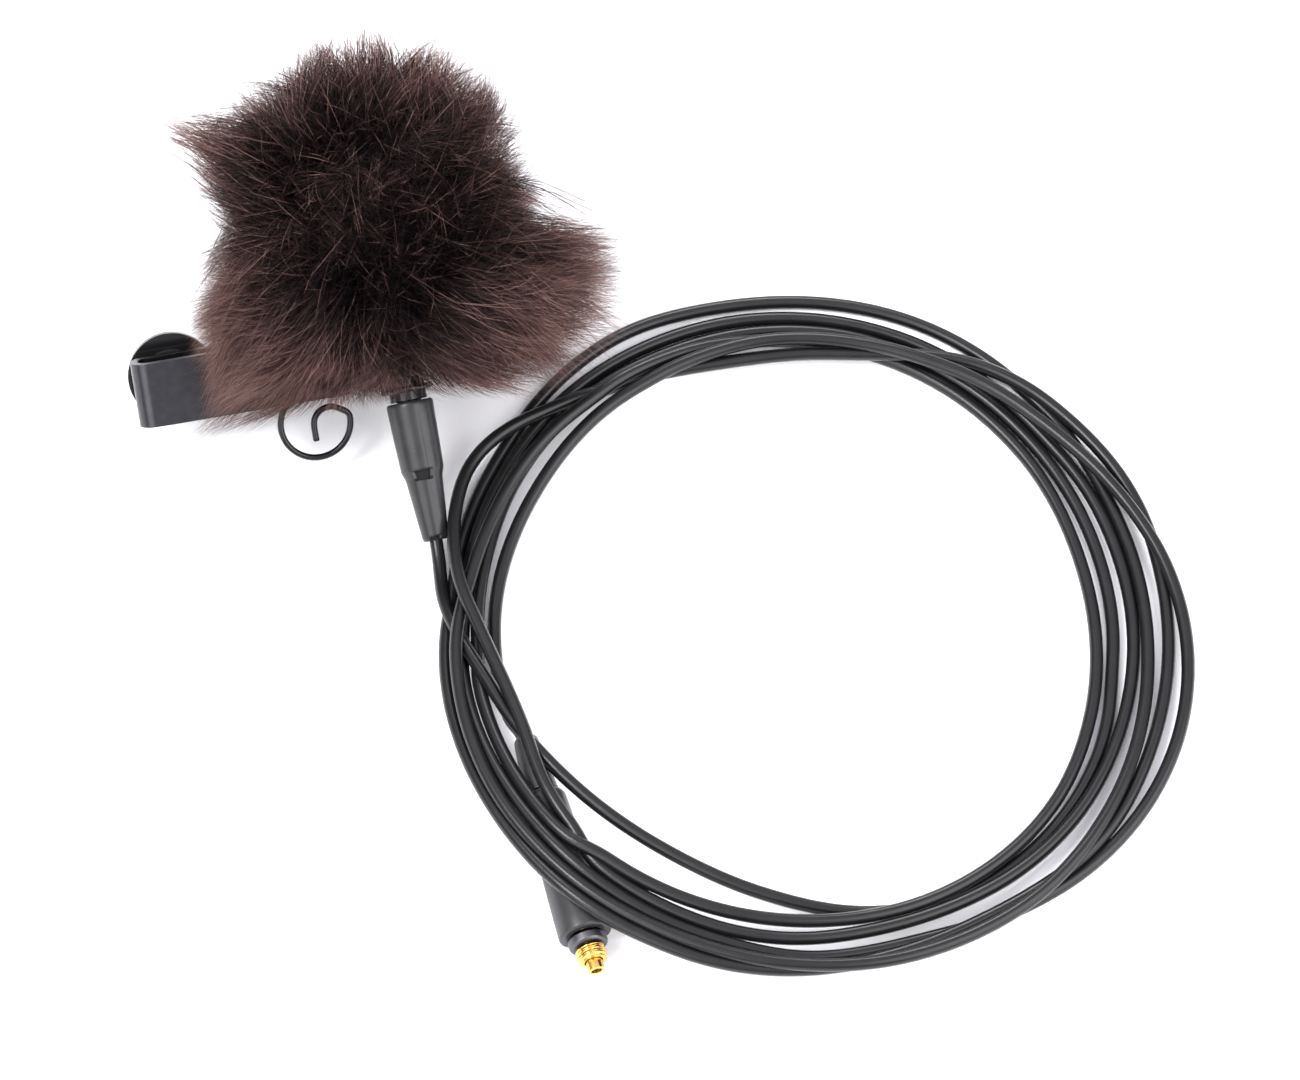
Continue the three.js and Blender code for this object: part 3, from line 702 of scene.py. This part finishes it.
def pile_reach(direction):
    """How far from the fur's centre a hair in this direction ends."""
    right, up, back = direction @ VIEW_RIGHT, direction @ VIEW_UP, np.abs(direction @ VIEW_BACK)
    outline = np.interp(np.degrees(np.arctan2(up, right)), *zip(*PILE_REACH))
    side = eased_step(back, 0.9, 0.25)
    return NEAR_REACH * (1 - side) + outline / np.sqrt(1 - np.minimum(back, 0.5) ** 2) * side


def lock_sag(direction):
    """How far the upper right lock's hairs sag in their middle."""
    right, up = direction @ VIEW_RIGHT, direction @ VIEW_UP
    angle = np.degrees(np.arctan2(up, right))
    return LOCK_SAG * np.exp(-(((angle - SAG_ANGLE) / SAG_SPREAD) ** 2))


def comb(direction):
    """The way the pile lies: brushed out to both sides below, and down round the neck."""
    up, right = direction @ VIEW_UP, direction @ VIEW_RIGHT
    low = np.clip(0.15 - up, 0, 1)
    sideways = SIDEWAYS_COMB * low * np.tanh(3 * right) * np.where(up > -0.85, 1, 0.2)
    along_neck = NECK_COMB * np.clip(-direction @ MIC_AXIS - 0.55, 0, 1)
    return unit(direction + sideways[:, None] * VIEW_RIGHT - along_neck[:, None] * MIC_AXIS)


def hair_tones(tips, way, rng):
    """A tone for each hair: by chance, by how far out its tip is (painted rim light), by its lean
    (painted shade on hairs that point towards or away from the eye) and by patches, some of painted
    shade and some paler.
    """
    flat = (tips - FUR_CENTRE) @ np.column_stack([VIEW_RIGHT, VIEW_UP])
    tone = rng.exponential(TONE_SPREAD, len(tips)) + TONE_START
    # painted rim light: hairs whose tips lie far out from the centre, as the eye sees the pile, get
    # paler
    tone += PAINTED_RIM_LIGHT * eased_step(np.hypot(*flat.T), 12.5, 17.5)
    # painted shade: hairs that point towards or away from the eye get darker
    tone -= PAINTED_DEPTH_SHADE * eased_step(np.abs(way @ VIEW_BACK), 0.3, 0.8)
    # patches with a negative tone paint shade into the pile; the others make it paler
    for right, up, spread, amount in PAINTED_SHADE_AND_PALE_PATCHES:
        away = np.hypot(flat[:, 0] - right, flat[:, 1] - up)
        tone += amount * np.exp(-((away / spread) ** 2))
    return tone


def over_clip(points, rng):
    """Moves the places that lie in the clip's leaf to just in front of it."""
    local = (points - CLIP_PLACE) @ CLIP_FRAME.T
    inside = (np.abs(local[:, 1]) < LEAF_HALF_WIDTH) & (local[:, 0] > LEAF_START)
    inside &= (local[:, 0] < LEAF_END) & (local[:, 2] < LEAF_FRONT) & (local[:, 2] > LEAF_BACK)
    lift = np.where(inside, LEAF_FRONT + rng.random(len(points)) - local[:, 2], 0)
    return points + lift[:, None] * CLIP_FRAME[2]


def hair_roots(direction):
    """Places on the backing: on its ball, and round its neck for hairs that point down."""
    along = direction @ MIC_AXIS
    side = unit(direction - along[:, None] * MIC_AXIS)
    low = np.clip((NECK_START - along) / (NECK_START - BARE_END), 0, 1)
    on_ball = along > NECK_START
    bottom, top = NECK_HEIGHTS[0], NECK_HEIGHTS[-1]
    height = np.where(on_ball, FUR_HEIGHT + BACKING_RADIUS * along, top - (top - bottom) * low)
    on_neck = np.interp(height, NECK_HEIGHTS, NECK_RADII)
    radius = np.where(on_ball, BACKING_RADIUS * np.sqrt(1 - along**2), on_neck)
    return MIC_RIM + height[:, None] * MIC_AXIS + radius[:, None] * side


def grow_hairs(rng):
    """Roots, bends and tips of all hairs, and their tones; hairs of one tuft lie alike."""
    tufts = spread_over_ball(TUFT_COUNT, rng)
    tuft_length = rng.uniform(TUFT_SHORTEST, TUFT_LONGEST, TUFT_COUNT)
    tuft_lean = rng.normal(0, TUFT_LEAN, (TUFT_COUNT, 3))
    tuft_hold = rng.uniform(TUFT_LEAST_HOLD, TUFT_MOST_HOLD, TUFT_COUNT)
    tuft_tone = rng.normal(0, TUFT_TONE, TUFT_COUNT)
    direction = np.vstack([spread_over_ball(HAIR_COUNT, rng), *lock_directions(rng)])
    direction = direction[direction @ MIC_AXIS > BARE_END]
    tuft = np.argmax(direction @ tufts.T, axis=1)
    facing = eased_step(np.abs(direction @ VIEW_BACK), 0.4, 0.9)[:, None]
    ruffled = STRAY_LEAN + FACING_LEAN * facing
    lean = comb(direction) + tuft_lean[tuft] + rng.normal(0, 1, direction.shape) * ruffled
    hold = tuft_hold[tuft][:, None]
    way = unit(unit(lean) * (1 - hold) + unit(comb(tufts) + tuft_lean)[tuft] * hold)
    roots = hair_roots(direction)
    short = 1 - HAIR_SHORTENING * rng.random(len(way)) ** 2
    reach = pile_reach(way) * tuft_length[tuft] * short
    tips = over_clip(FUR_CENTRE + way * reach[:, None], rng)
    tips[:, 2] = np.maximum(tips[:, 2], 0.15 + 0.5 * rng.random(len(tips)))
    span = np.linalg.norm(tips - roots, axis=1, keepdims=True)
    shake = rng.normal(0, BEND_SHAKE, roots.shape)
    bends = over_clip(roots + direction * span * 0.5 + shake, rng)
    bends -= lock_sag(way)[:, None] * VIEW_UP
    bends[:, 2] = np.maximum(bends[:, 2], 0.3)
    # longer hairs, which make the pile's rim, get paler: partly their own colour, partly painted rim
    # light
    paleness_and_rim_light = LONG_TIP_PALENESS_AND_RIM_LIGHT * np.clip(reach - LONG_REACH, 0, 6)
    tone = hair_tones(tips, way, rng) + tuft_tone[tuft] + paleness_and_rim_light
    return roots, bends, tips, tone


def hair_corners(roots, bends, tips, tone, rng):
    """Rings of three corners along each curved hair, and one point at its end."""
    count = len(roots)
    width = HAIR_WIDTH * (0.95 + 0.12 * np.clip(tone, 0, 3))[:, None]
    axis = unit(tips - roots)
    side = unit(np.cross(axis, unit(rng.normal(0, 1, axis.shape))))
    other = np.cross(axis, side)
    corners = np.empty((count, HAIR_RINGS * 3 + 1, 3))
    for ring in range(HAIR_RINGS):
        t = ring / HAIR_RINGS
        middle = (1 - t) ** 2 * roots + 2 * t * (1 - t) * bends + t * t * tips
        radius = width / 2 * (1 - HAIR_TAPER * t)
        for corner in range(3):
            turn = 2 * math.pi * corner / 3
            offset = math.cos(turn) * side + math.sin(turn) * other
            corners[:, ring * 3 + corner] = middle + radius * offset
    corners[:, -1] = tips
    return corners


def hair_faces():
    """One hair's triangles, and how far along the hair each one is."""
    faces, along = [(2, 1, 0)], [0.0]
    for ring in range(HAIR_RINGS):
        for corner in range(3):
            here, beside = ring * 3 + corner, ring * 3 + (corner + 1) % 3
            if ring < HAIR_RINGS - 1:
                faces += [(here, beside, beside + 3), (here, beside + 3, here + 3)]
                along += [(ring + 0.4) / HAIR_RINGS, (ring + 0.6) / HAIR_RINGS]
            else:
                faces.append((here, beside, HAIR_RINGS * 3))
                along.append((ring + 0.5) / HAIR_RINGS)
    return np.array(faces), np.array(along)


def make_hair_materials():
    """One plain material for each tone; the palest shine most."""
    materials = []
    for step, colour in enumerate(PALETTE):
        hair = new_material(f"fur_tone_{step + 1}", colour, 0.5)
        shader_of(hair).inputs["Specular IOR Level"].default_value = 0.03 + 0.02 * step
        materials.append(hair)
    return materials


def make_pile():
    """All hairs, dealt out at random to a few pieces of about the same size."""
    rng = np.random.default_rng(7)
    roots, bends, tips, tone = grow_hairs(rng)
    corners = hair_corners(roots, bends, tips, tone, rng)
    one, along = hair_faces()
    materials = make_hair_materials()
    for batch, chosen in enumerate(np.array_split(rng.permutation(len(roots)), FUR_BATCHES)):
        faces = one[None] + (np.arange(len(chosen)) * corners.shape[1])[:, None, None]
        share = ROOT_SHARE + (1 - ROOT_SHARE) * along
        steps = ROOT_STEP + TIP_STEPS * along**TIP_CURVE + tone[chosen][:, None] * share
        slots = np.clip(np.round(steps), 0, len(PALETTE) - 1).ravel()
        hair = mesh_object(f"fur_pile_{batch + 1}", corners[chosen].reshape(-1, 3),
                           faces.reshape(-1, 3), materials, slots)
        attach(hair, "windshield")


def make_backing():
    """The knitted backing that the pile grows from, open round the microphone's neck."""
    outer = [(3.6, 5.0), (3.9, 7.0), (5.0, 9.0)]
    outer += ball_profile(BACKING_RADIUS + 0.1, FUR_HEIGHT, -48, 90, 30)
    inner = ball_profile(BACKING_RADIUS - 0.35, FUR_HEIGHT, -62, 90, 30)[::-1]
    inner += [(3.2, 7.0), (3.1, 5.0)]
    knit = new_material("fur_backing", (0.008, 0.006, 0.006), 0.9)
    vary_colour(knit, (0.005, 0.004, 0.004), (0.014, 0.01, 0.009), 2.5)
    add_grain(knit, 5.0, 0.05, 0.6)
    backing = turned_piece("fur_backing", outer + inner, MIC_RIM, MIC_AXIS, knit, 128)
    stand_for(backing, "windshield", "fur", "fur_cover")


FOAM_RADIUS, FOAM_HEIGHT, FOAM_BORE = 8.5, 18.3, 2.45
PORE_DEPTH = 0.16


def foam_pores(radius, height, angle):
    """Small open cells all over the foam, but not in its bore."""
    rng = np.random.default_rng(3)
    outside = (np.hypot(radius, height - FOAM_HEIGHT) > FOAM_RADIUS - 0.3)
    outside &= radius > FOAM_BORE + 0.15
    return radius - PORE_DEPTH * rng.random((len(radius), angle.shape[1])) ** 2 * outside


def make_foam_ball():
    outer = ball_profile(FOAM_RADIUS, FOAM_HEIGHT, -73.2, 90, 90)
    bore = [(SMALLEST_RADIUS, 15.9), (2.3, 15.9), (FOAM_BORE, 15.75), (FOAM_BORE, 10.25)]
    foam = turned_piece("foam_ball", outer + bore, MIC_RIM, MIC_AXIS, foam_black, 256, foam_pores)
    stand_for(foam, "windshield", "foam", "foam_windscreen")


HEM_RADIUS, HEM_HEIGHT = 3.4, 4.2
HEM_HALF_WIDTH, HEM_HALF_HEIGHT = 0.58, 0.66


def hem_ribs(radius, height, angle):
    """The gathers of the knit over its elastic."""
    gathers = 0.1 * np.cos(40 * angle) + 0.04 * np.cos(17 * angle + 1)
    off_middle = radius - HEM_RADIUS
    return radius + gathers * np.sign(off_middle) * (np.abs(off_middle) > 0.2)


def make_hem():
    turns = np.radians(np.arange(-90, 270, 15))
    ring = [(HEM_RADIUS + HEM_HALF_WIDTH * math.cos(turn), HEM_HEIGHT + HEM_HALF_HEIGHT * math.sin(turn))
            for turn in turns]
    hem = turned_piece("elastic_hem_ribs", ring, MIC_RIM, MIC_AXIS, elastic, 320, hem_ribs)
    stand_for(hem, "windshield", "elastic", "elastic_hem")


# ---------------------------------------------------------------- clip and microphone head


def make_clip():
    finish_node("clip_front_jaw", clip_metal, 0.14, 4)
    finish_node("clip_rear_jaw", gloss_black, 0.12, 4)
    finish_node("jaw_pad", boot_rubber, 0.06)
    finish_node("hinge_pin", steel, 0.08)
    finish_node("wire_saddle", clip_metal, 0.25, 4)
    round_wire("torsion_spring", steel)
    round_wire("holder_wire", wire_black)


def make_head():
    finish_node("rear_gland", gloss_black, 0.06)
    finish_node("mic_tube", clip_metal, 0.06)
    finish_node("grille_cap", clip_metal, 0.04)
    finish_node("preamp_board", circuit_board, 0.03)
    finish_node("electret_capsule", steel, 0.06)
    finish_node("capsule_gasket", boot_rubber, 0.06)
    finish_node("dust_mesh", woven_mesh, 0.02)
    round_wire("signal_lead_red", lead_red)
    round_wire("signal_lead_white", insulator)


# ---------------------------------------------------------------- floor and light


FLOOR_HALF = 3.0  # in metres, like all places below
LIGHT_TARGET = (0.02, -0.03, 0.0)
# Each lamp's name, place, size across and power in watts.
LAMPS = (("key", (-0.34, -0.1, 0.62), 0.3, 5.0), ("fill", (0.56, -0.3, 0.42), 0.9, 8.0),
         ("front", (-0.36, -0.55, 0.42), 0.6, 3.0), ("rim", (0.0, 0.6, 0.45), 0.2, 2.5))
SKY_SIDES, SKY_TOP = (0.11, 0.108, 0.12), (0.93, 0.91, 1.0)
SKY_FULL = 0.85  # the height at which the sky has its top colour
SKY_STRENGTH = 1.55


def make_floor():
    half = FLOOR_HALF
    data = bpy.data.meshes.new("floor")
    corners = [(-half, -half, 0), (half, -half, 0), (half, half, 0), (-half, half, 0)]
    data.from_pydata(corners, [], [(0, 1, 2, 3)])
    floor = bpy.data.objects.new("floor", data)
    bpy.context.scene.collection.objects.link(floor)
    paper = new_material("floor_paper", (0.93, 0.93, 0.935), 0.8)
    add_grain(paper, 0.8, 0.02, 0.1)
    data.materials.append(paper)


def add_lamp(name, place, size, watts):
    """A round soft lamp that points at the object."""
    data = bpy.data.lights.new(name, "AREA")
    data.shape, data.size, data.energy = "DISK", size, watts
    lamp = bpy.data.objects.new(name, data)
    bpy.context.scene.collection.objects.link(lamp)
    lamp.location = place
    lamp.rotation_mode = "QUATERNION"
    lamp.rotation_quaternion = (Vector(LIGHT_TARGET) - Vector(place)).to_track_quat("-Z", "Y")


def light_the_stage():
    """A soft white light, strongest from above, and four lamps."""
    world = bpy.data.worlds.new("soft_white")
    world.use_nodes = True
    tree = world.node_tree
    place = tree.nodes.new("ShaderNodeTexCoord")
    split = tree.nodes.new("ShaderNodeSeparateXYZ")
    ramp = tree.nodes.new("ShaderNodeValToRGB")
    for stop, height, colour in zip(ramp.color_ramp.elements, (0.0, SKY_FULL), (SKY_SIDES, SKY_TOP)):
        stop.position = height
        stop.color = (*colour, 1)
    tree.links.new(place.outputs["Generated"], split.inputs["Vector"])
    tree.links.new(split.outputs["Z"], ramp.inputs["Fac"])
    tree.links.new(ramp.outputs["Color"], tree.nodes["Background"].inputs["Color"])
    tree.nodes["Background"].inputs["Strength"].default_value = SKY_STRENGTH
    bpy.context.scene.world = world
    for lamp in LAMPS:
        add_lamp(*lamp)
    bpy.context.scene.view_settings.view_transform = "Standard"


# ---------------------------------------------------------------- the whole

make_floor()
light_the_stage()
make_boot()
make_head()
make_clip()
make_pile()
make_backing()
make_foam_ball()
make_hem()
plug_pieces = make_plug()

cable = make_cable()
stand_for(cable, "microphone", "cable_jacket", "cable_lead", "cable_coil", "cable_tail")
